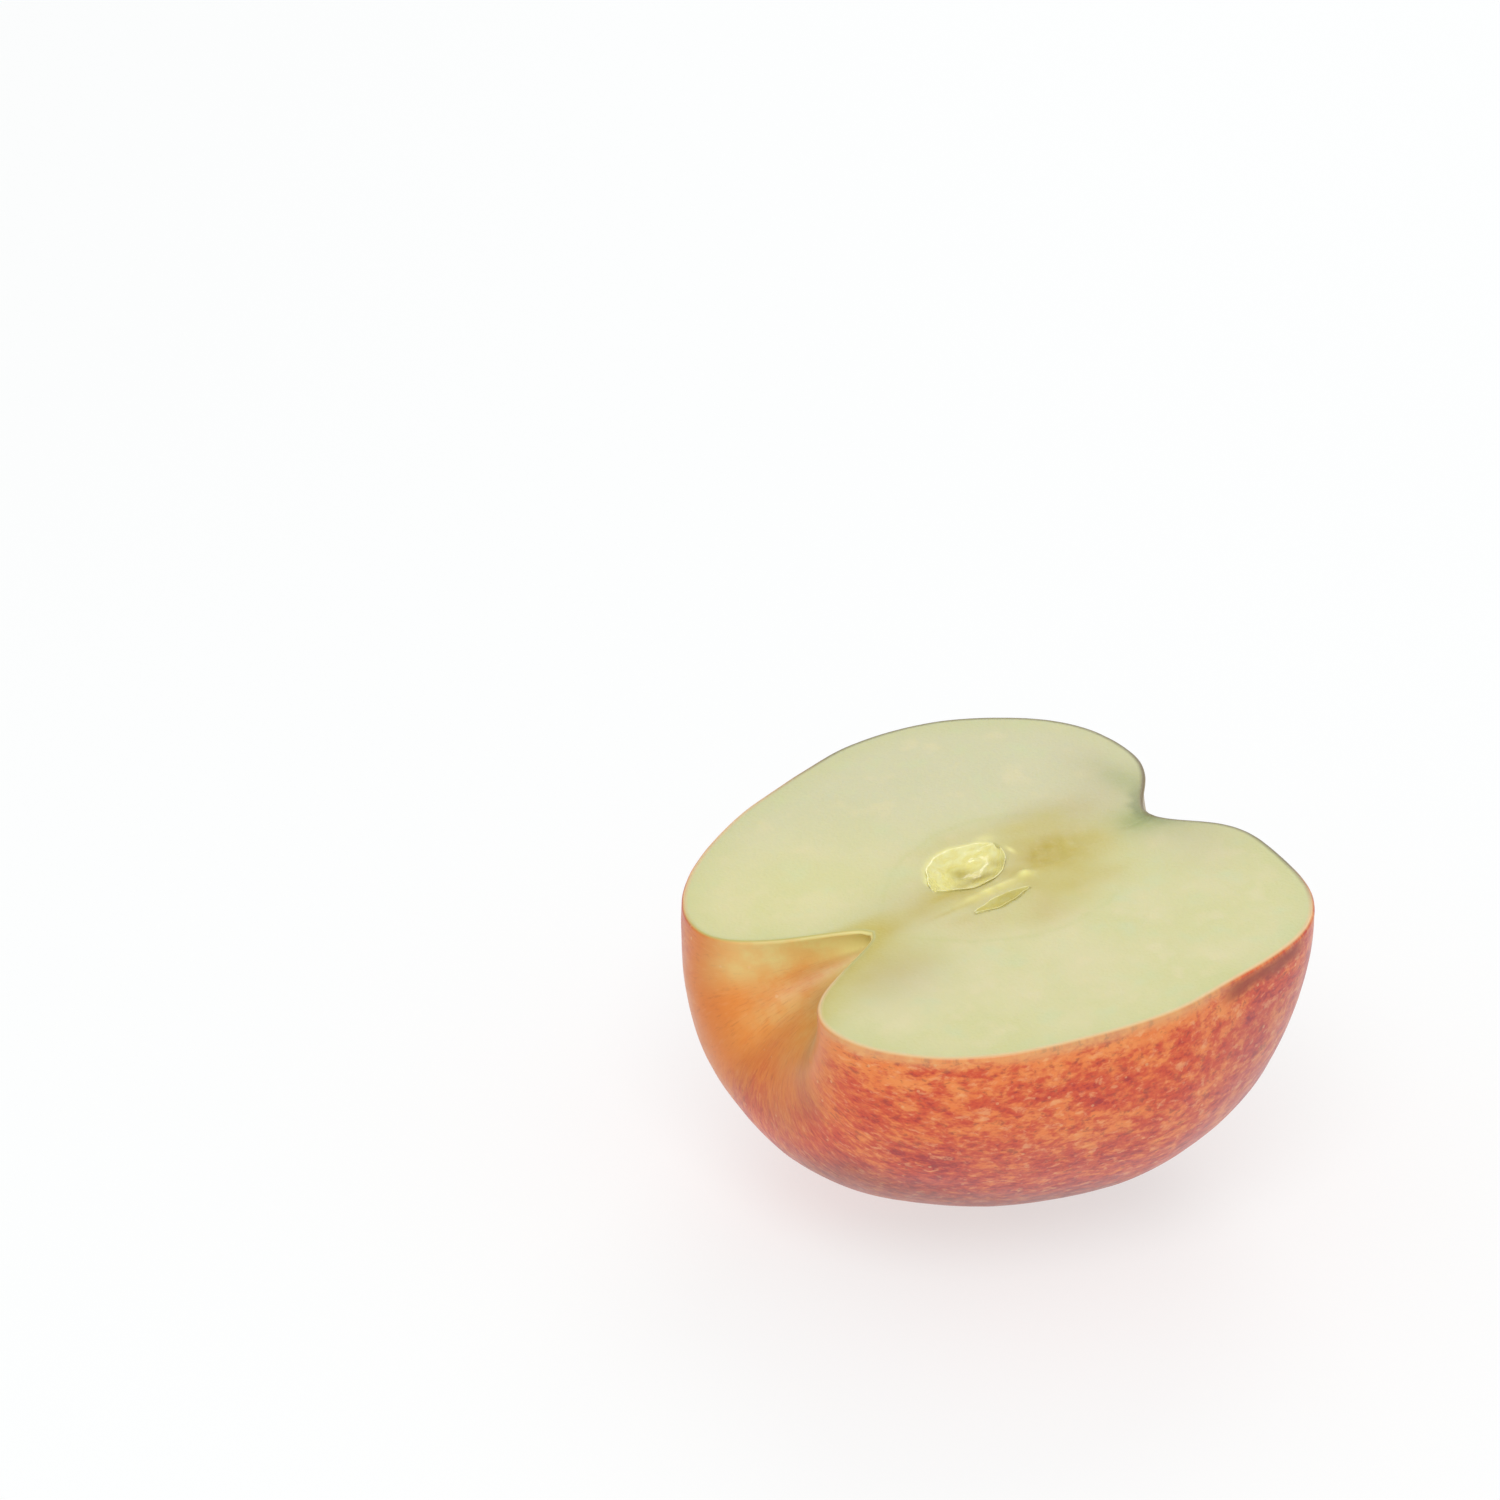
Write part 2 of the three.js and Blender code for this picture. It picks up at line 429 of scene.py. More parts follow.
class Nodes:
    """Builds one material, one call for each node."""

    def __init__(self, name):
        self.material = bpy.data.materials.new(name)
        self.material.use_nodes = True
        self.tree = self.material.node_tree
        self.shader = self.tree.nodes["Principled BSDF"]

    def feed(self, socket, value):
        if isinstance(value, bpy.types.NodeSocket):
            self.tree.links.new(value, socket)
        else:
            socket.default_value = value

    def node(self, kind, inputs, output=0, **settings):
        made = self.tree.nodes.new(kind)
        for key, value in settings.items():
            setattr(made, key, value)
        for key, value in inputs.items():
            self.feed(made.inputs[key], value)
        return made.outputs[output]

    def attribute(self, name, output="Fac"):
        return self.node("ShaderNodeAttribute", {}, output, attribute_name=name)

    def stretch(self, vector, scale):
        return self.node("ShaderNodeVectorMath", {0: vector, 1: scale}, operation="MULTIPLY")

    def noise(self, vector, scale, detail, roughness=0.5, distortion=0.0):
        return self.node("ShaderNodeTexNoise", {
            "Vector": vector, "Scale": scale, "Detail": detail,
            "Roughness": roughness, "Distortion": distortion,
        })

    def dots(self, vector, scale):
        """Distance from the nearest of many scattered points."""
        return self.node("ShaderNodeTexVoronoi", {"Vector": vector, "Scale": scale}, "Distance")

    def math(self, operation, first, second):
        return self.node("ShaderNodeMath", {0: first, 1: second}, operation=operation)

    def ramp(self, value, low, high, to_low=0.0, to_high=1.0):
        """A smooth step from to_low to to_high as value goes from low to high."""
        return self.node("ShaderNodeMapRange", {
            "Value": value, "From Min": low, "From Max": high, "To Min": to_low, "To Max": to_high,
        }, interpolation_type="SMOOTHSTEP")

    def blend(self, factor, first, second):
        return self.node("ShaderNodeMix", {0: factor, 6: first, 7: second}, 2, data_type="RGBA")

    def bump(self, height, distance, strength):
        inputs = {"Height": height, "Distance": distance, "Strength": strength}
        return self.node("ShaderNodeBump", inputs)

    def finish(self, **sockets):
        """Feeds the shader. A socket's name has _ for each space."""
        for key, value in sockets.items():
            self.feed(self.shader.inputs[key.replace("_", " ")], value)
        return self.material


def skin_material():
    paint = Nodes("apple_skin")
    streak = paint.attribute("streak", "Vector")
    fruit = paint.attribute("fruit", "Vector")
    blush = paint.attribute("blush")
    pinkness = paint.attribute("pinkness")
    gold = paint.attribute("gold")
    green = paint.attribute("green")
    russet_and_painted_shade = paint.attribute("russet_and_painted_shade")
    calm = paint.attribute("calm")
    tip = paint.attribute("tip")
    pale_band = paint.attribute("pale_band")
    brown = paint.attribute("brown")
    painted_sheen = paint.attribute("painted_sheen")
    painted_shade = paint.attribute("painted_shade")
    lip = paint.attribute("lip")
    golden_edge = paint.attribute("golden_edge")
    dark_edge = paint.attribute("dark_edge")

    # Red lies over the ground in patches, blotches, dashes and flecks, drawn out from end to end.
    # It is calmer in the stem cavity and on its shoulder
    patches = paint.noise(paint.stretch(streak, (1, 1, 0.8)), 0.16, 2, 0.5)
    blotches = paint.noise(paint.stretch(streak, (1, 1, 0.7)), 0.6, 3, 0.6, 0.5)
    dashes = paint.noise(paint.stretch(streak, (1, 1, 0.45)), 1.1, 3, 0.55, 0.4)
    flecks = paint.noise(paint.stretch(streak, (1, 1, 0.6)), 2.6, 2, 0.5)
    specks = paint.noise(paint.stretch(streak, (1, 1, 0.65)), 1.0, 4, 0.62, 0.3)
    mottle = paint.noise(fruit, 0.35, 3, 0.6)
    liveliness = paint.ramp(calm, 0, 1, 1, 0.3)
    redness = blush
    for layer, strength in ((patches, 0.17), (blotches, 0.27), (dashes, 0.18), (flecks, 0.14)):
        swing = paint.ramp(layer, 0.3, 0.7, -strength, strength)
        redness = paint.math("ADD", redness, paint.math("MULTIPLY", swing, liveliness))

    mottled = paint.ramp(mottle, 0.35, 0.65)
    orange = paint.blend(mottled, srgb(234, 124, 56), srgb(238, 142, 72))
    orange = paint.blend(calm, orange, srgb(234, 132, 44))
    golden = paint.blend(mottled, srgb(230, 176, 100), srgb(230, 160, 78))
    khaki = paint.blend(mottled, srgb(228, 214, 136), srgb(230, 200, 122))
    # Painted light: the deepest part of the stem cavity is made lighter to offset the shade there
    khaki = paint.blend(tip, khaki, srgb(240, 228, 152))
    blotched = paint.ramp(blotches, 0.35, 0.65)
    russet = paint.blend(blotched, srgb(186, 158, 96), srgb(160, 138, 84))
    ground = paint.blend(gold, orange, golden)
    red = paint.blend(pinkness, srgb(212, 74, 34), srgb(202, 70, 48))
    crimson = paint.blend(pinkness, srgb(178, 40, 30), srgb(168, 42, 44))
    colour = paint.blend(paint.ramp(redness, 0.05, 0.85), ground, red)
    colour = paint.blend(paint.ramp(redness, 0.75, 1.2), colour, crimson)
    light = paint.math("MULTIPLY", paint.ramp(specks, 0.53, 0.72, 0, 0.52), liveliness)
    dark = paint.math("MULTIPLY", paint.ramp(specks, 0.3, 0.47, 0.6, 0), liveliness)
    colour = paint.blend(light, colour, srgb(244, 182, 124))
    colour = paint.blend(dark, colour, srgb(146, 44, 38))
    colour = paint.blend(green, colour, khaki)
    # Russet at the calyx end is the skin's own colour; the same russet on the stem end's front flank
    # is painted shade
    colour = paint.blend(russet_and_painted_shade, colour, russet)

    # Small pale dots, through which the skin breathes
    spots = paint.ramp(paint.dots(fruit, 0.34), 0.05, 0.09, 0.4, 0)
    colour = paint.blend(spots, colour, srgb(238, 192, 136))
    # In front, the skin is paler just under the cut and brown there towards the calyx. A bluish mauve
    # lower down towards the calyx is painted sheen, and painted shade darkens the stem cavity and the
    # underside
    colour = paint.blend(pale_band, colour, srgb(218, 192, 134))
    colour = paint.blend(brown, colour, srgb(148, 54, 20))
    colour = paint.blend(painted_sheen, colour, srgb(130, 116, 134))
    # The dark brown blended here is painted shade
    colour = paint.blend(painted_shade, colour, srgb(78, 66, 42))
    # The peel's cut edge is pale in front, golden by the stem and dark at the rear and the calyx
    rind = paint.blend(golden_edge, srgb(238, 198, 142), srgb(200, 188, 108))
    rind = paint.blend(dark_edge, rind, srgb(132, 118, 82))
    dark_rind = paint.math("MULTIPLY", paint.ramp(lip, 0.02, 0.5), dark_edge)
    bare = paint.math("MAXIMUM", paint.ramp(lip, 0.35, 0.95), dark_rind)
    colour = paint.blend(bare, colour, rind)

    pores = paint.noise(fruit, 3.2, 2, 0.5)
    pitted = paint.math("MULTIPLY", pores, 0.35)
    relief = paint.math("ADD", pitted, paint.math("MULTIPLY", spots, 0.5))
    return paint.finish(
        Base_Color=colour,
        Roughness=paint.ramp(mottle, 0.2, 0.8, 0.34, 0.46),
        Specular_IOR_Level=0.4,
        Coat_Weight=0.15,
        Coat_Roughness=0.22,
        Sheen_Weight=0.06,
        Sheen_Roughness=0.45,
        Sheen_Tint=(0.86, 0.86, 1.0, 1.0),
        Subsurface_Weight=0.08,
        Subsurface_Radius=(1.0, 0.4, 0.2),
        Subsurface_Scale=0.001,
        Normal=paint.bump(relief, 0.00006, 0.6),
    )


def flesh_material():
    paint = Nodes("apple_flesh")
    fruit = paint.attribute("fruit", "Vector")
    rim = paint.attribute("rim")
    ochre = paint.attribute("ochre")
    tan_painted_shade = paint.attribute("tan_painted_shade")
    green = paint.attribute("green")
    line = paint.attribute("line")
    pale = paint.attribute("pale")
    cream_and_painted_light = paint.attribute("cream_and_painted_light")
    dark_olive_by_calyx = paint.attribute("dark_olive_by_calyx")
    golden_edge = paint.attribute("golden_edge")
    dark_edge = paint.attribute("dark_edge")

    cloud = paint.noise(fruit, 0.11, 3, 0.5)
    tint = paint.noise(paint.stretch(fruit, (1, 1, 0.2)), 0.2, 2, 0.5)
    grain = paint.noise(fruit, 1.7, 3, 0.6)
    clouded = paint.ramp(cloud, 0.35, 0.65)
    colour = paint.blend(clouded, srgb(218, 212, 161), srgb(211, 209, 150))
    # Greyer and paler towards the rear of the face: painted sheen
    colour = paint.blend(pale, colour, srgb(208, 206, 170))
    colour = paint.blend(paint.ramp(tint, 0.52, 0.75, 0, 0.6), colour, srgb(206, 213, 164))
    colour = paint.blend(paint.ramp(tint, 0.3, 0.45, 0.5, 0), colour, srgb(224, 214, 168))
    colour = paint.blend(paint.ramp(grain, 0.35, 0.7, 0, 0.25), colour, srgb(223, 218, 171))
    colour = paint.blend(paint.ramp(rim, 0.3, 5, 0.4, 0), colour, srgb(202, 204, 142))
    # Greyer tan marks are painted shade
    colour = paint.blend(tan_painted_shade, colour, srgb(198, 190, 150))
    colour = paint.blend(green, colour, srgb(160, 172, 112))
    vessels = paint.math("MULTIPLY", line, paint.ramp(grain, 0.3, 0.6, 0.3, 1))
    colour = paint.blend(vessels, colour, srgb(196, 200, 134))
    deep = paint.blend(paint.ramp(cloud, 0.3, 0.7), srgb(192, 173, 84), srgb(200, 184, 94))
    colour = paint.blend(ochre, colour, deep)
    # Cream: the core's own cream band and marks, and a broad patch of painted light
    colour = paint.blend(cream_and_painted_light, colour, srgb(243, 235, 152))
    # Dark olive flesh along the edge by the calyx notch
    colour = paint.blend(dark_olive_by_calyx, colour, srgb(124, 132, 90))
    under_peel = paint.blend(golden_edge, srgb(236, 204, 148), srgb(204, 200, 132))
    under_peel = paint.blend(dark_edge, under_peel, srgb(160, 152, 108))
    colour = paint.blend(paint.ramp(rim, 0.02, 0.5, 0.85, 0), colour, under_peel)

    wetness = paint.math("MULTIPLY", cream_and_painted_light, 0.1)
    cells = paint.dots(fruit, 2.2)
    relief = paint.math("ADD", cells, paint.math("MULTIPLY", grain, 0.8))
    return paint.finish(
        Base_Color=colour,
        Roughness=paint.math("SUBTRACT", paint.ramp(grain, 0.3, 0.7, 0.4, 0.55), wetness),
        Specular_IOR_Level=0.4,
        Subsurface_Weight=0.3,
        Subsurface_Radius=(1.0, 0.75, 0.35),
        Subsurface_Scale=0.0022,
        Normal=paint.bump(relief, 0.00005, 0.5),
    )


def lining_material():
    paint = Nodes("seed_chamber_lining")
    fruit = paint.attribute("fruit", "Vector")
    painted_shade_and_highlights = paint.attribute("painted_shade_and_highlights")
    folds = paint.noise(paint.stretch(fruit, (0.5, 1.4, 1)), 1.2, 3, 0.55, 0.4)
    colour = paint.blend(paint.ramp(folds, 0.35, 0.65), srgb(255, 250, 182), srgb(250, 240, 158))
    # Painted shade darkens the lining in its depths and dimples; its lumps are painted lighter as
    # painted highlights
    colour = paint.blend(painted_shade_and_highlights, colour, srgb(178, 160, 84))
    return paint.finish(
        Base_Color=colour,
        Roughness=paint.ramp(folds, 0.3, 0.7, 0.14, 0.3),
        Specular_IOR_Level=0.6,
        Coat_Weight=0.4,
        Coat_Roughness=0.1,
        Subsurface_Weight=0.2,
        Subsurface_Radius=(1.0, 0.8, 0.3),
        Subsurface_Scale=0.001,
        Normal=paint.bump(folds, 0.00012, 0.6),
    )


def dried_material():
    paint = Nodes("dried_calyx")
    fruit = paint.attribute("fruit", "Vector")
    fibre = paint.noise(paint.stretch(fruit, (0.35, 1.6, 1.6)), 2.4, 4, 0.6)
    colour = paint.blend(paint.ramp(fibre, 0.3, 0.7), srgb(84, 64, 38), srgb(152, 126, 78))
    return paint.finish(
        Base_Color=colour,
        Roughness=paint.ramp(fibre, 0.3, 0.7, 0.7, 0.9),
        Specular_IOR_Level=0.2,
        Sheen_Weight=0.15,
        Normal=paint.bump(fibre, 0.0002, 0.8),
    )


# ---------------------------------------------------------------- forms and colours of the cut face

# How far a point seems to move across the cut, from in front, for each millimetre under it
SEEN_SHIFT = (1.0, 1.5)
CORE_LINE = {"centre": (-3.0, -0.5), "half_length": 17.5, "half_width": 13.5, "thickness": 0.5}

# The rows of marks below have a mark's middle, its reach both ways, and its height or strength.
# Lumps and dimples of the rear chamber's sloping wall, at the places where they seem to lie
REAR_FOLDS = (
    ((-3.2, 6.4), (1.6, 1.1), 0.4),
    ((-0.1, 6.2), (0.9, 0.8), 0.4),
    ((-3.7, 4.0), (1.1, 1.0), 0.45),
    ((-8.9, 4.4), (1.0, 2.0), 0.4),
    ((-6.9, 3.3), (1.2, 1.6), -0.55),
    ((-4.8, 0.9), (1.8, 0.8), -0.25),
    ((-1.4, 2.4), (1.5, 1.2), -0.4),
)
# Painted shade on that chamber's lining
REAR_PAINTED_SHADES = (
    ((-6, 0.4), (4.5, 0.8), 0.55),
    ((-5, 2.7), (4.2, 1.6), 0.22),
)
# The wall between the chambers stands up in a ridge
RIDGE = (
    ((-4.8, -1.8), (4, 0.7), 0.4),
    ((-0.3, -1.4), (1.0, 0.9), 0.45),
)
# Colours of the cut face
OCHRE_MARKS = (
    ((7.5, 0), (6.5, 4.5), 0.95),
    ((3.6, 3.6), (3, 3), 0.35),
    ((6, 7.5), (5, 2.6), 0.45),
    ((-10, -7.5), (5, 2.2), 0.25),
    ((2, -6.5), (6, 4), 0.6),
    ((-3.5, -10.5), (4.5, 2.5), 0.35),
    ((-10, 0.5), (5, 3.2), 0.5),
    ((-4, 1), (8, 6.5), 0.35),
    ((-18.5, 0), (6.5, 2.5), 0.45),
    # The next mark is a thin dark line by the rear chamber's near rim, painted shadow
    ((-11.4, 0.8), (1.8, 0.5), 0.4),
    ((-12, -2.4), (3, 0.4), 0.35),
    ((-11.5, -4.8), (2.8, 1.3), 0.3),
    ((2, -0.8), (1.6, 1.8), 0.3),
    ((-3, -1), (6, 3), 0.12),
    ((-3, 10.5), (6, 2), 0.25),
    ((11, 7), (5, 3), 0.25),
    ((-24, -7.5), (6, 4), 0.3),
    ((8, -7.5), (3, 2), 0.2),
)
CREAM_MARKS = (
    ((-5.4, -1.8), (5, 1.0), 0.6),
    ((-0.2, -1.5), (1.0, 0.8), 0.5),
    ((1.7, 4.2), (0.35, 1.0), 0.6),
    ((0.6, 8.2), (1.2, 1.0), 0.4),
)
# Greyer tan marks, mostly towards both ends of the face: painted shade
PAINTED_SHADE_MARKS = (
    ((-16, 2), (9, 5), 0.5),
    ((14, 6.5), (6, 5), 0.6),
    ((21, 12), (4, 8), 0.5),
    ((-25, -9), (7, 6), 0.65),
    ((21, -6), (6, 9), 0.55),
    ((6.5, 10.2), (3.2, 1.6), 0.35),
)
GREEN_MARKS = (
    ((17.5, -0.5), (3.5, 3), 0.8),
    ((22, 8), (2.2, 5), 0.5),
    ((-23, 0), (3, 2), 0.35),
    ((21, -2), (3, 5), 0.25),
)


def chamber_frame(chamber, x, y):
    """Share of the way along a chamber, distance from its middle line over its half width there, and
    that half width over the greatest."""
    across_x, across_y = x - chamber["centre"][0], y - chamber["centre"][1]
    turn = chamber["turn"]
    along = across_x * math.cos(turn) + across_y * math.sin(turn)
    across = -across_x * math.sin(turn) + across_y * math.cos(turn)
    share = along / chamber["length"] + 0.5
    fullness = np.sin(math.pi * np.clip(share, 0, 1)) ** CHAMBER_FULLNESS
    return share, across / np.maximum(chamber["width"] / 2 * fullness, 1e-6), fullness


def seen(x, y, height):
    """Where points at a height over the cut seem to lie on it, from in front."""
    return x + height * SEEN_SHIFT[0], y + height * SEEN_SHIFT[1]


def folds(x, y, wall):
    """Height of the lumps and dimples of the rear chamber's wall, where it lies at that height."""
    return marks(*seen(x, y, wall), REAR_FOLDS)


def chamber_wall(chamber, x, y):
    """Height of a chamber's wall over the cut. The wall is steep in front and slopes at the rear."""
    _, off_middle, fullness = chamber_frame(chamber, x, y)
    slope = 0.5 + 0.45 * smoothstep(off_middle, -0.3, 0.4)
    height = -chamber["depth"] * fullness * np.maximum(1 - off_middle**2, 0) ** slope
    if chamber is REAR_CHAMBER:
        height = height + smoothstep(1 - abs(off_middle), 0, 0.3) * folds(x, y, height)
    return np.minimum(height, 0)


def uneven(plan):
    """How far points of the cut face are shifted before the core's forms are worked out there."""
    return 0.18 * np.column_stack([ripple(plan, 4, 23), ripple(plan, 4, 24)])


def core_line(x, y):
    """The fine line of vessels round the core: pointed at both ends, broadest past its middle."""
    along = (x - CORE_LINE["centre"][0]) / CORE_LINE["half_length"]
    inside = np.clip(1 - along**2, 0, 1)
    reach = CORE_LINE["half_width"] * inside**0.75 * (1 + 0.12 * along)
    away = abs(abs(y - CORE_LINE["centre"][1]) - reach)
    return np.exp(-((away / CORE_LINE["thickness"]) ** 2)) * smoothstep(inside, 0, 0.12)


def face_height(flat, rim):
    """Height of the cut face at places on it that lie as far as rim from its edge."""
    x, y = flat.T
    z = CUT + smoothstep(rim, 0, 4) * (0.09 * ripple(flat, 22, 21) + 0.02 * ripple(flat, 5, 22))
    core_x, core_y = (flat + uneven(flat)).T
    for chamber in (REAR_CHAMBER, FRONT_CHAMBER):
        wall = chamber_wall(chamber, core_x, core_y)
        z += np.where(wall < 0, wall - UNDER_LINING, 0)
    # The soft tissue towards the calyx sinks a little where the knife tore it
    z -= 0.28 * spot(x, y, (6, 0.5), (5, 3)) * (1 + 0.5 * ripple(flat, 2.5, 25))
    z -= 0.5 * spot(x, y, (17.2, -0.3), (2.4, 0.8))
    return z + marks(x, y, RIDGE)


def face_looks(flat, rim):
    """The cut face's attributes, at places on it that lie as far as rim from its edge."""
    x, y = flat.T
    by_stem_notch = smoothstep(-x, 15, 21) * band(y, -16, -9, 2, 4)
    ochre = marks(x, y, OCHRE_MARKS) + 0.85 * np.exp(-rim / 3.2) * by_stem_notch
    share, off_middle, fullness = chamber_frame(REAR_CHAMBER, *(flat + uneven(flat)).T)
    beyond = (abs(off_middle) - 1) * REAR_CHAMBER["width"] / 2 * fullness
    behind = smoothstep(off_middle, -0.6, 0.6) * band(share, 0, 0.06, 0.94, 1)
    cream_and_painted_light = 0.9 * np.exp(-(np.maximum(beyond, 0) / 0.7) ** 2) * behind + marks(x, y, CREAM_MARKS)
    cream_and_painted_light = np.clip(cream_and_painted_light * (1 + 0.3 * ripple(flat, 2.4, 29)), 0, 1)
    return {
        "rim": rim,
        "ochre": np.clip(ochre * (1 + 0.12 * ripple(flat, 5, 26)), 0, 1),
        "tan_painted_shade": marks(x, y, PAINTED_SHADE_MARKS),
        "green": marks(x, y, GREEN_MARKS),
        "line": 0.3 * core_line(x + 0.35 * ripple(flat, 6, 27), y + 0.35 * ripple(flat, 6, 28)),
        # pale: greyer and paler towards the rear of the face, painted sheen
        "pale": 0.75 * smoothstep(0.5 * x + y, -4, 26),
        # The broad spot towards the stem end and the rear is painted light
        "cream_and_painted_light": cream_and_painted_light + 0.16 * spot(x, y, (-24, 16), (16, 14)),
        "dark_olive_by_calyx": 0.7 * fade(rim + 0.3 * ripple(flat, 2, 30), 0.3, 2.2) * spot(x, y, (18, 2), (6, 6)),
    }


# ---------------------------------------------------------------- colours of the skin

# Redder and paler marks, most of them under the front rim: way along the skin and turn in degrees,
# the reach of each and its strength
SKIN_MARKS = (
    ((36, 172.5), (3, 1.5), 0.2),
    ((43, 180.5), (5, 1.4), 0.65),
    ((55, 172.5), (3, 1.5), 0.2),
    ((69, 177.7), (5, 1.3), 0.45),
    ((84, 178), (5, 4), 0.3),
    ((35, 176.5), (3.5, 1.6), -0.3),
    ((42, 173.5), (13, 3), -0.11),
    ((31, 115), (8, 16), 0.2),
    ((38, 154), (8, 8), 0.08),
    ((58, 179.5), (6, 1.2), -0.25),
)


def rind_looks(way, degrees):
    """How golden and how dark the peel's cut edge is, by its place on the skin."""
    rear = degrees < 90
    golden = np.where(rear, fade(way, 24, 34), fade(way, 8, 16))
    dark = np.where(rear, smoothstep(way, 52, 72), smoothstep(way, 94, 108))
    return golden, dark


def skin_painted_shade(way, degrees):
    """Painted shade: darker in the stem cavity's groove, on both its flanks, on the underside and at
    the stem end.
    """
    groove = band(degrees, 60, 85, 138, 155) * band(way, 4, 9, 24, 30)
    flank = smoothstep(degrees, 120, 135) * band(way, 16, 20, 24, 29)
    rear_flank = band(degrees, 20, 35, 90, 110) * fade(way, 10, 14)
    stem_end = band(way, 18, 23, 30, 42) * fade(degrees, 70, 90)
    bottom = band(degrees, 80, 105, 144, 166) * band(way, 28, 36, 86, 98)
    painted_shade = 0.18 * groove + 0.09 * flank + 0.12 * rear_flank + 0.16 * stem_end
    painted_shade += (0.4 - 0.36 * smoothstep(degrees, 126, 142)) * bottom
    return painted_shade + 0.12 * spot(way, degrees, (30, 108), (6, 14))


def skin_looks(way, degrees, streak, depth):
    """The skin's attributes, by the way along it, the turn round it and the depth under the cut."""
    wander = ripple(streak, 26, 31)
    flutter = ripple(streak, 5, 32)
    under_side = smoothstep(np.sin(np.radians(degrees)), 0.15, 0.8)
    rear_rim = fade(degrees, 4, 32)
    front = smoothstep(degrees, 120, 150)

    reddening = way + 3 * wander - 7 * fade(degrees, 30, 100)
    blush = 0.02 + 0.54 * smoothstep(reddening, 15, 33) + 0.06 * under_side
    blush += 0.22 * rear_rim * smoothstep(way, 22, 36)
    blush += 0.22 * band(degrees, 112, 128, 138, 158) * band(way, 32, 42, 72, 84)
    blush -= 0.3 * smoothstep(way, 104, 122)
    blush -= 0.3 * smoothstep(degrees, 172, 181) * fade(way, 80, 95)
    blush += marks(way, degrees, SKIN_MARKS)

    green = fade(way + 2 * wander, 5, 12)
    green += 0.75 * rear_rim * smoothstep(way, 6, 12) * fade(way + wander, 17, 26)
    russet_and_painted_shade = smoothstep(way + 3 * wander, 108, 122)
    # Painted shade on the stem end's front flank
    russet_and_painted_shade += 0.7 * smoothstep(degrees, 120, 160) * band(way, 9, 14, 17, 23)
    pale_band = 0.45 * fade(depth + 0.3 * flutter, 0.2, 1.8) * front * band(way, 20, 27, 75, 80)
    pale_band *= 1 - 0.6 * spot(way, 0, (43, 0), (6, 6))
    brown = 0.85 * fade(depth + 0.4 * flutter, 1.6, 3) * smoothstep(depth, 0.2, 0.6)
    brown *= front * band(way, 75, 79, 88, 93)
    # Painted sheen: a bluish mauve lower down towards the calyx
    painted_sheen = 0.2 * band(way, 70, 84, 94, 104) * smoothstep(degrees, 115, 142)
    painted_sheen *= 1 - 0.7 * smoothstep(degrees, 172, 178)
    golden_edge, dark_edge = rind_looks(way, degrees)
    looks = {
        "gold": fade(way + 1.5 * wander, 13, 23),
        "green": green,
        # tip: painted light in the deepest part of the stem cavity, on its rear side
        "tip": fade(way, 3, 10) * fade(degrees, 20, 52),
        "russet_and_painted_shade": russet_and_painted_shade,
        "calm": fade(reddening, 16, 38),
        "pale_band": pale_band,
        "brown": brown,
        "painted_sheen": painted_sheen,
        "painted_shade": skin_painted_shade(way, degrees),
        "golden_edge": golden_edge,
        "dark_edge": dark_edge,
        "pinkness": 0.15 + 0.75 * under_side * smoothstep(way, 22, 45),
    }
    return {"blush": blush} | {name: np.clip(values, 0, 1) for name, values in looks.items()}


# ---------------------------------------------------------------- flesh and peel

def inner_grid():
    """The underside of the peel: some of the skin's columns, moved in by the peel's thickness."""
    grid = (skin.grid - skin.normals * PEEL)[:, ::INNER_STEP].copy()
    grid[skin.closed, -1] = grid[skin.closed, 0]
    return grid


def edge_distance(flat, edge):
    """For places on the cut face, the distance to its edge and the number of the nearest point."""
    tree = KDTree(len(edge))
    for index, point in enumerate(edge):
        tree.insert((point[0], point[1], 0), index)
    tree.balance()
    nearest = [tree.find((x, y, 0)) for x, y in flat]
    return np.array([distance for _, _, distance in nearest]), [index for _, index, _ in nearest]


def make_flesh(material, edge):
    """The cut face, as rings of points about its centre, and the flesh under the peel. Returns the
    flesh's underside, which the peel lies on."""
    shares = np.concatenate([np.linspace(*ends_and_count) for ends_and_count in FACE_RINGS])
    spokes = edge[:, :2] - FACE_CENTRE
    flat = (FACE_CENTRE + shares[:, None, None] * spokes).reshape(-1, 2)
    flat = np.concatenate([flat, FACE_CENTRE[None]])
    rim, nearest = edge_distance(flat, edge)
    face = np.column_stack([flat, face_height(flat, rim)])
    loops, round_points = len(shares), len(edge)
    outer_loop = slice(round_points * (loops - 1), round_points * loops)
    face[outer_loop] = edge
    faces = loop_faces(loops, round_points).tolist()
    for step in range(round_points):
        faces.append([len(face) - 1, step, (step + 1) % round_points])

    under = inner_grid()
    skin.put_on_edge(under, edge)
    for row in (skin.first_open, skin.last_open):
        under[row, -1] = under[row, 0]
    faces += grid_faces(*under.shape[:2], len(face)).tolist()
    points = np.concatenate([face, under.reshape(-1, 3)])

    looks = face_looks(flat, rim)
    edge_way = skin.round_the_edge(skin.way)
    edge_degrees = np.degrees(skin.round_the_edge(skin.turn))
    for name, values in zip(("golden_edge", "dark_edge"), rind_looks(edge_way, edge_degrees)):
        looks[name] = values[nearest]
    attributes = {"fruit": points}
    for name, values in looks.items():
        # Where the flesh goes down from the edge, it has the edge's own values
        hidden = np.zeros(under.shape[:2])
        skin.put_on_edge(hidden, values[outer_loop])
        attributes[name] = np.maximum(np.concatenate([values, hidden.ravel()]), 0)
    make_piece("apple_flesh", points, faces, material, attributes)
    return under


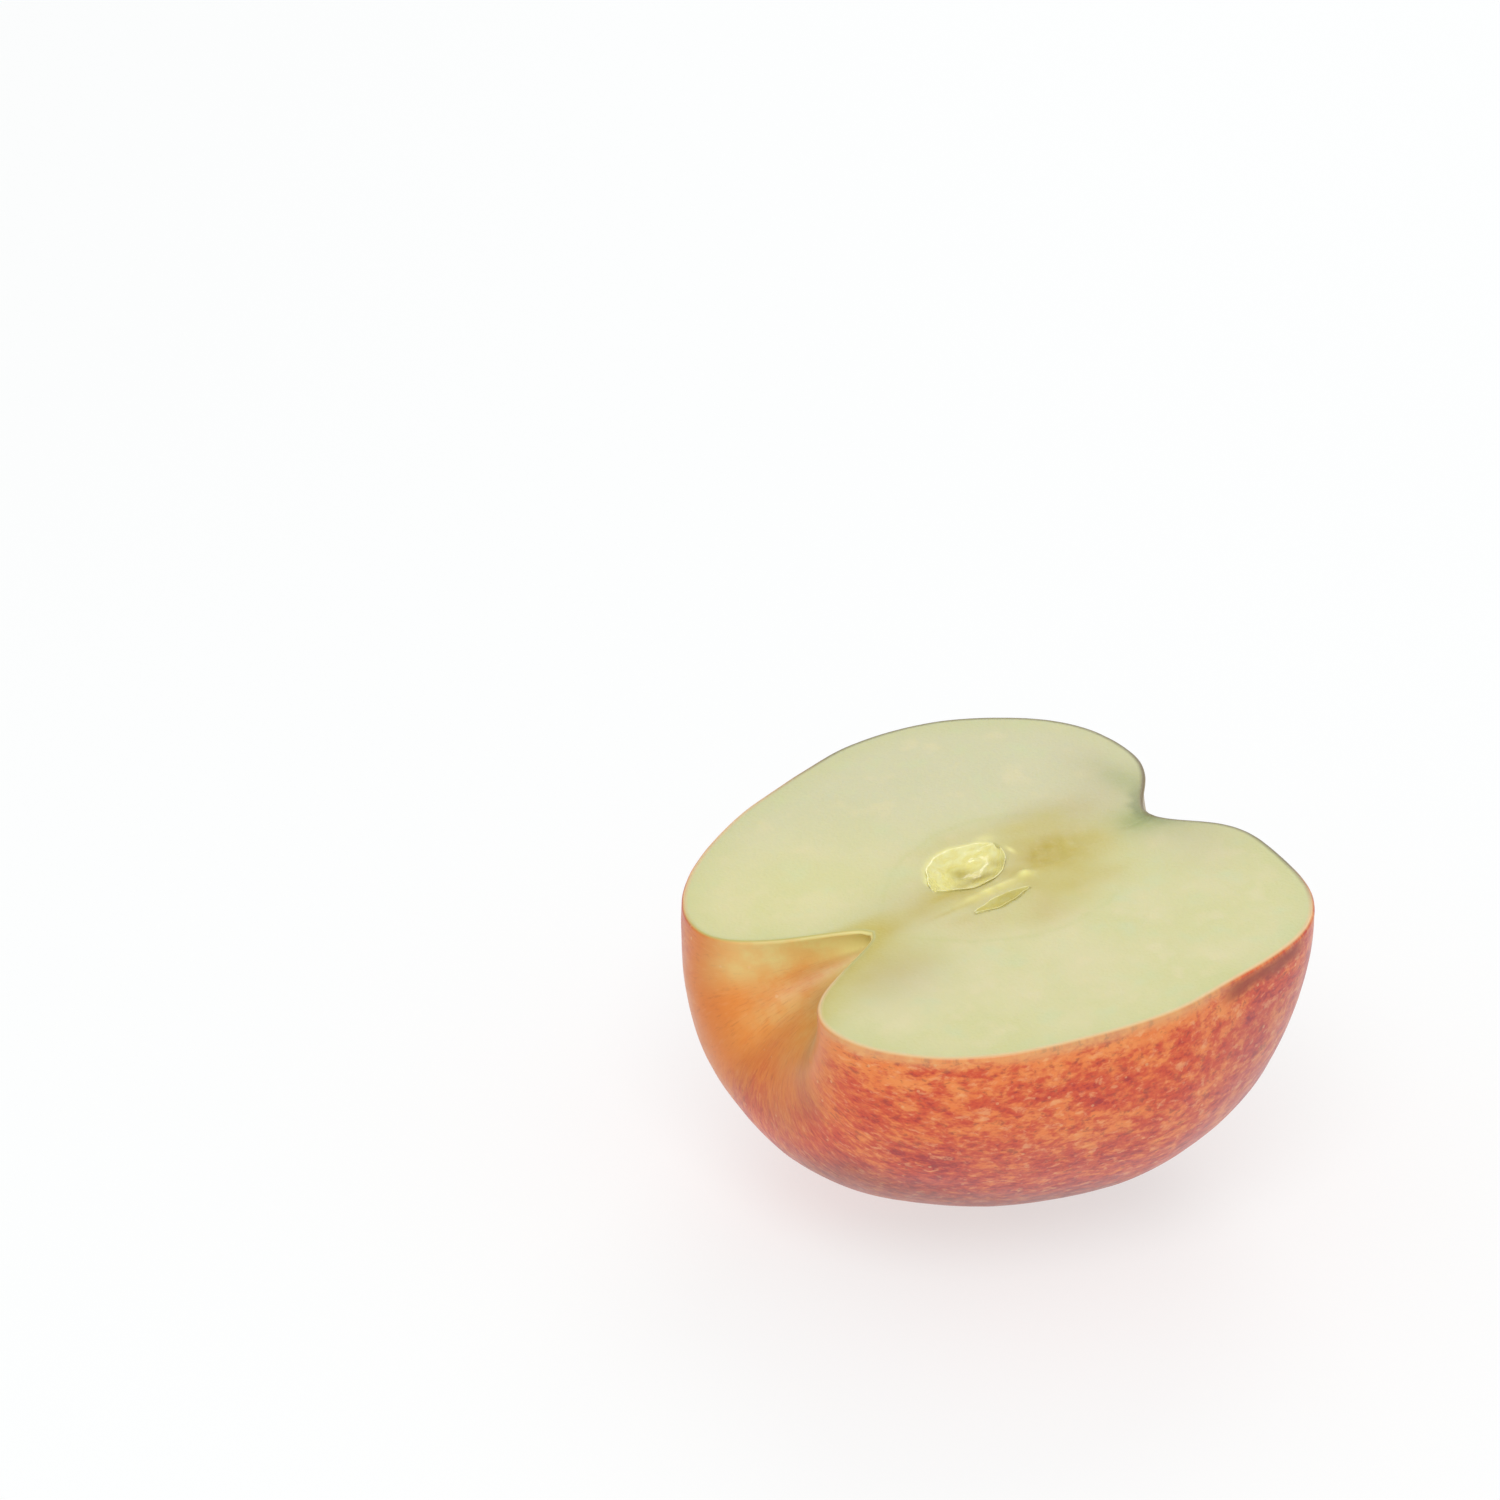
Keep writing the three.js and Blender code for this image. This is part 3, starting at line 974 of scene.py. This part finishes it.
def make_peel(material, rings, under):
    """The skin with its cut edge, closed by the peel's underside."""
    rows, columns = skin.grid.shape[:2]
    loop = np.concatenate(rings)
    points = np.concatenate([skin.grid.reshape(-1, 3), loop, under.reshape(-1, 3)])
    faces = grid_faces(rows, columns).tolist()
    faces += loop_faces(len(rings), len(rings[0]), rows * columns).tolist()
    faces += grid_faces(*under.shape[:2], rows * columns + len(loop), flip=True).tolist()

    def all_over(grid):
        on_lip = np.tile(skin.round_the_edge(grid), len(rings))
        return np.concatenate([grid.ravel(), on_lip, grid[:, ::INNER_STEP].ravel()])

    way = all_over(skin.way)
    turn = all_over(skin.turn)
    streak = np.column_stack([STREAK_RADIUS * np.cos(turn), STREAK_RADIUS * np.sin(turn), way])
    lip_share = np.repeat(np.linspace(0, 1, len(rings)), len(rings[0]))
    attributes = skin_looks(way, np.degrees(turn), streak, CUT - points[:, 2])
    hidden = np.ones(under[..., 0].size)
    attributes["lip"] = np.concatenate([np.zeros(rows * columns), lip_share, hidden])
    attributes["fruit"] = points
    attributes["streak"] = streak
    make_piece("apple_skin", points, faces, material, attributes)


# ---------------------------------------------------------------- the core

def make_lining(name, chamber, material, seed):
    """The glossy parchment that lines a seed chamber. Its rim stands a little proud of the cut."""
    along_steps, across_steps = LINING_STEPS
    shares = np.linspace(*LINING_ENDS, along_steps)
    angles = np.linspace(-math.pi / 2, math.pi / 2, across_steps)
    grid = np.meshgrid(shares, LINING_OVERLAP * np.sin(angles), indexing="ij")
    share, off_middle = (values.ravel() for values in grid)
    along = (share - 0.5) * chamber["length"]
    across = off_middle * chamber["width"] / 2 * np.sin(math.pi * share) ** CHAMBER_FULLNESS
    turn = chamber["turn"]
    formed = np.column_stack([
        chamber["centre"][0] + along * math.cos(turn) - across * math.sin(turn),
        chamber["centre"][1] + along * math.sin(turn) + across * math.cos(turn),
    ])
    plan = formed
    for _ in range(SOLVING_ROUNDS):
        plan = formed - uneven(plan)
    x, y = formed.T
    wall = chamber_wall(chamber, x, y)
    wrinkled = 0.06 * ripple(np.column_stack([plan, wall]), 1.6, seed) * smoothstep(-wall, 0.2, 1)
    round_rim = np.column_stack([share * 12, np.sign(across) * 5])
    torn = LINING_PROUD * (1 + 0.7 * ripple(round_rim, 3, seed + 1))
    proud = np.maximum(torn, 0.02) * smoothstep(abs(off_middle), 0.85, 1)
    points = np.column_stack([plan, CUT + wall + wrinkled + proud])
    # Painted shade: darker the deeper the lining lies, in the rear chamber's dimples and low band,
    # and all over the narrow front chamber. The rear chamber's lumps are painted lighter, as painted
    # highlights
    painted_shade_and_highlights = 0.1 * smoothstep(-wall, 0.5 * chamber["depth"], chamber["depth"])
    if chamber is REAR_CHAMBER:
        painted_shade_and_highlights += marks(*seen(x, y, wall), REAR_PAINTED_SHADES) - 0.9 * folds(x, y, wall)
    else:
        painted_shade_and_highlights += 0.24 + 0.2 * spot(x, y, (-4.5, -4.4), (1.8, 1.8))
    attributes = {"fruit": points, "painted_shade_and_highlights": np.clip(painted_shade_and_highlights, 0, 1)}
    faces = grid_faces(along_steps, across_steps)
    thicken(make_piece(name, points, faces, material, attributes), LINING_THICKNESS)


# ---------------------------------------------------------------- the dried calyx

def make_sepals(material):
    """Three of the five dried sepals are left under the cut: narrow pointed leaves that lean out over
    the basin's floor, creased along the middle and curled at the tip."""
    points, faces = [], []
    random = np.random.default_rng(41)
    along_steps, across_steps = SEPAL_STEPS
    for turn_degrees in SEPAL_TURNS:
        turn = math.radians(turn_degrees + random.uniform(-5, 5))
        length = random.uniform(4.4, 5.2)
        first_lean = math.radians(random.uniform(8, 20))
        last_lean = math.radians(random.uniform(60, 95))
        skew = random.uniform(-0.5, 0.5)
        faces += grid_faces(along_steps, across_steps, len(points)).tolist()
        ahead, out = SEPAL_ROOT
        for share in np.linspace(0, 1, along_steps):
            lean = first_lean + (last_lean - first_lean) * share**1.5
            waist = 1 + 0.1 * math.sin(11 * share)
            half_width = SEPAL_HALF_WIDTH * (1 - share) ** 0.8 * waist + 0.04
            for across in np.linspace(-1, 1, across_steps):
                sideways = across * half_width + skew * share**2
                raised = 0.4 * half_width * abs(across) + 0.06 * math.sin(5 * across + 12 * share)
                forward = ahead + raised * math.sin(lean)
                radius = out - raised * math.cos(lean)
                angle = turn + sideways / max(radius, 1)
                points.append((forward, radius * math.cos(angle), -radius * math.sin(angle)))
            ahead += length / along_steps * math.cos(lean)
            out += length / along_steps * math.sin(lean)
    attributes = {"fruit": np.array(points)}
    sepals = make_piece("dried_sepals", points, faces, material, attributes)
    thicken(sepals, SEPAL_THICKNESS)


def make_stamens(material):
    """A tuft of withered stamens in the mouth of the calyx tube, each with a swollen tip."""
    points, faces = [], []
    random = np.random.default_rng(42)
    for _ in range(STAMENS):
        turn = random.uniform(0.05, 0.95) * math.pi
        lean = random.uniform(0.15, 0.5)
        length = random.uniform(2.2, 3.8)
        base = random.uniform(0.3, 1.5)
        first = len(points)
        for share in np.linspace(0, 1, STAMEN_STEPS):
            away = base + lean * length * share**1.6
            ahead = STAMEN_ROOT + length * share
            centre = np.array([ahead, away * math.cos(turn), -away * math.sin(turn)])
            swollen = 0.12 if share > 0.93 else 0
            radius = STAMEN_RADIUS * (1 - 0.45 * share) + swollen
            for side in range(STAMEN_SIDES):
                angle = 2 * math.pi * side / STAMEN_SIDES
                ring = (0, radius * math.cos(angle), radius * math.sin(angle))
                points.append(tuple(centre + ring))
        faces += loop_faces(STAMEN_STEPS, STAMEN_SIDES, first).tolist()
        last = len(points) - 1
        faces.append([first + side for side in range(STAMEN_SIDES)])
        faces.append([last - side for side in range(STAMEN_SIDES)])
    attributes = {"fruit": np.array(points)}
    make_piece("dried_stamens", points, faces, material, attributes)


# ---------------------------------------------------------------- everything together

flesh_paint = flesh_material()
skin_paint = skin_material()
lining_paint = lining_material()
dried_paint = dried_material()

peel_rings = lip_rings(skin.edge())
under_peel = make_flesh(flesh_paint, peel_rings[-1])
make_peel(skin_paint, peel_rings, under_peel)
make_lining("rear_seed_chamber", REAR_CHAMBER, lining_paint, 51)
make_lining("front_seed_chamber", FRONT_CHAMBER, lining_paint, 61)
make_sepals(dried_paint)
make_stamens(dried_paint)

# ---------------------------------------------------------------- stage, light and camera


def floor_material():
    """A pale surface lit from behind like a light table, so that shadows on it stay faint."""
    paint = Nodes("pale_floor")
    cloud = paint.noise(paint.node("ShaderNodeTexCoord", {}, "Object"), 3.0, 2)
    colours = [srgb(*colour) for colour in FLOOR_COLOURS]
    return paint.finish(
        Base_Color=paint.blend(paint.ramp(cloud, 0.3, 0.7), *colours),
        Roughness=0.7,
        Specular_IOR_Level=0.1,
        Emission_Color=(1.0, 1.0, 1.0, 1.0),
        Emission_Strength=FLOOR_GLOW,
    )


def make_floor():
    mesh = bpy.data.meshes.new("floor")
    corners = [(-1, -1), (1, -1), (1, 1), (-1, 1)]
    corners = [(x * FLOOR_HALF_SIDE, y * FLOOR_HALF_SIDE, 0) for x, y in corners]
    mesh.from_pydata(corners, [], [(0, 1, 2, 3)])
    mesh.materials.append(floor_material())
    floor = bpy.data.objects.new("floor", mesh)
    bpy.context.scene.collection.objects.link(floor)


def make_lamp(name, place, size, power):
    data = bpy.data.lights.new(name, "AREA")
    data.shape = "DISK"
    data.size = size
    data.energy = power
    lamp = bpy.data.objects.new(name, data)
    lamp.location = place
    lamp.rotation_mode = "QUATERNION"
    lamp.rotation_quaternion = (Vector(LAMP_TARGET) - Vector(place)).to_track_quat("-Z", "Y")
    bpy.context.scene.collection.objects.link(lamp)


def make_world():
    world = bpy.data.worlds.new("studio")
    world.use_nodes = True
    background = world.node_tree.nodes["Background"]
    background.inputs["Color"].default_value = (1.0, 1.0, 1.0, 1.0)
    background.inputs["Strength"].default_value = WORLD_STRENGTH
    bpy.context.scene.world = world


def make_camera():
    """Stands where the half has its outline in the picture, low and to the right of the middle."""
    data = bpy.data.cameras.new("camera")
    data.sensor_width = SENSOR
    data.lens = FOCAL_PIXELS / IMAGE_SIDE * SENSOR
    data.clip_start, data.clip_end = CAMERA_REACH
    azimuth = math.radians(CAMERA_AZIMUTH)
    elevation = math.radians(CAMERA_ELEVATION)
    back = Vector((
        math.sin(azimuth) * math.cos(elevation),
        -math.cos(azimuth) * math.cos(elevation),
        math.sin(elevation),
    ))
    turn = (-back).to_track_quat("-Z", "Y") @ Quaternion((0, 0, 1), math.radians(CAMERA_ROLL))
    right = turn @ Vector((1, 0, 0))
    up = turn @ Vector((0, 1, 0))
    middle = Vector(lay([CORE_POINT])[0]) - right * CORE_RIGHT_OF_MIDDLE + up * CORE_UNDER_MIDDLE
    camera = bpy.data.objects.new("camera", data)
    camera.rotation_mode = "QUATERNION"
    camera.rotation_quaternion = turn
    camera.location = middle + back * CAMERA_DISTANCE
    bpy.context.scene.collection.objects.link(camera)
    bpy.context.scene.camera = camera


make_floor()
for lamp_name, (place, size, power) in LAMPS.items():
    make_lamp(lamp_name, place, size, power)
make_world()
make_camera()
bpy.context.scene.view_settings.view_transform = "Standard"
